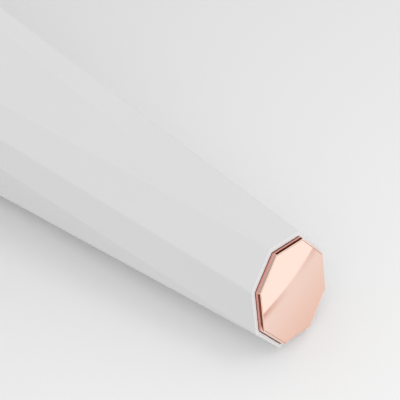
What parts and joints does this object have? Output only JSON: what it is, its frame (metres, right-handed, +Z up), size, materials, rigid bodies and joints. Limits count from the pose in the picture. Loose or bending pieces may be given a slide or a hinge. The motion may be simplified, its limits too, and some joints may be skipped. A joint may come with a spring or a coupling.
{
  "type": "ultrasonic facial cleansing device",
  "caption": "Faceted white handle lying on its back, with an octagonal rose gold end cap, press buttons, a charging socket and a bent steel spatula driven by a piezo stack.",
  "frame": {"origin": "under the middle of the device's length, on the surface that its flat back lies on", "axes": "+X along the handle towards the octagonal end cap, +Z up from the flat back through the buttons, +Y towards the side with the charging socket"},
  "size_m": [0.1797, 0.0314, 0.0254],
  "materials": {
    "white_shell": "satin",
    "rose_gold": "polished",
    "blade_steel": "satin",
    "steel": "plain",
    "horn_alloy": "turned",
    "silicone": "matt",
    "foam": "matt",
    "piezo_ceramic": "fired",
    "brass_sheet": "plain",
    "circuit_board": "varnished",
    "chip_black": "moulded",
    "ferrite": "plain",
    "component_tan": "plain",
    "led_lens": "clear",
    "clear_guide": "clear",
    "socket_steel": "plated",
    "cell_wrap": "wrapped",
    "nickel": "plain",
    "lead_red": "matt",
    "lead_black": "matt",
    "lead_white": "matt",
    "lead_yellow": "matt"
  },
  "bodies": {
    "handle": {"housing": "white_shell", "back_cover": "white_shell", "cover_screws": "steel", "screw_plugs": "white_shell", "cap_rim": "rose_gold", "cap_face": "rose_gold", "cap_nut": "steel", "neck_collar": "rose_gold", "neck_gasket": "silicone", "blade": "blade_steel", "blade_screw": "steel", "horn": "horn_alloy", "piezo_front": "piezo_ceramic", "piezo_rear": "piezo_ceramic", "electrode_front": "brass_sheet", "electrode_rear": "brass_sheet", "back_mass": "steel", "stack_bolt": "steel", "front_mount": "silicone", "rear_mount": "silicone", "main_board": "circuit_board", "board_screws": "steel", "controller_chip": "chip_black", "transistors": "chip_black", "drive_transformer": "ferrite", "capacitors": "component_tan", "led_chips": "led_lens", "light_guide": "clear_guide", "power_switch": "chip_black", "mode_switch": "chip_black", "level_switch": "chip_black", "charge_board": "circuit_board", "socket_shell": "socket_steel", "socket_tongue": "chip_black", "charge_chip": "chip_black", "board_header": "brass_sheet", "battery_cell": "cell_wrap", "battery_tabs": "nickel", "battery_pad": "foam", "battery_lead_red": "lead_red", "battery_lead_black": "lead_black", "stack_lead_front": "lead_white", "stack_lead_rear": "lead_yellow"},
    "power_press": {"power_button": "rose_gold", "power_plunger": "chip_black"},
    "mode_press": {"mode_button": "rose_gold", "mode_plunger": "chip_black"},
    "level_press": {"level_button": "rose_gold", "level_plunger": "chip_black"}
  },
  "joints": [
    {"name": "power_button_press", "type": "slide", "parent": "handle", "child": "power_press", "axis": [0.0872, 0, -0.9962], "range_m": [0, 0.00035], "stiffness_N_per_m": 3000},
    {"name": "mode_button_press", "type": "slide", "parent": "handle", "child": "mode_press", "axis": [0.0872, 0, -0.9962], "range_m": [0, 0.00035], "stiffness_N_per_m": 3000},
    {"name": "level_button_press", "type": "slide", "parent": "handle", "child": "level_press", "axis": [0.0872, 0, -0.9962], "range_m": [0, 0.00035], "stiffness_N_per_m": 3000}
  ]
}
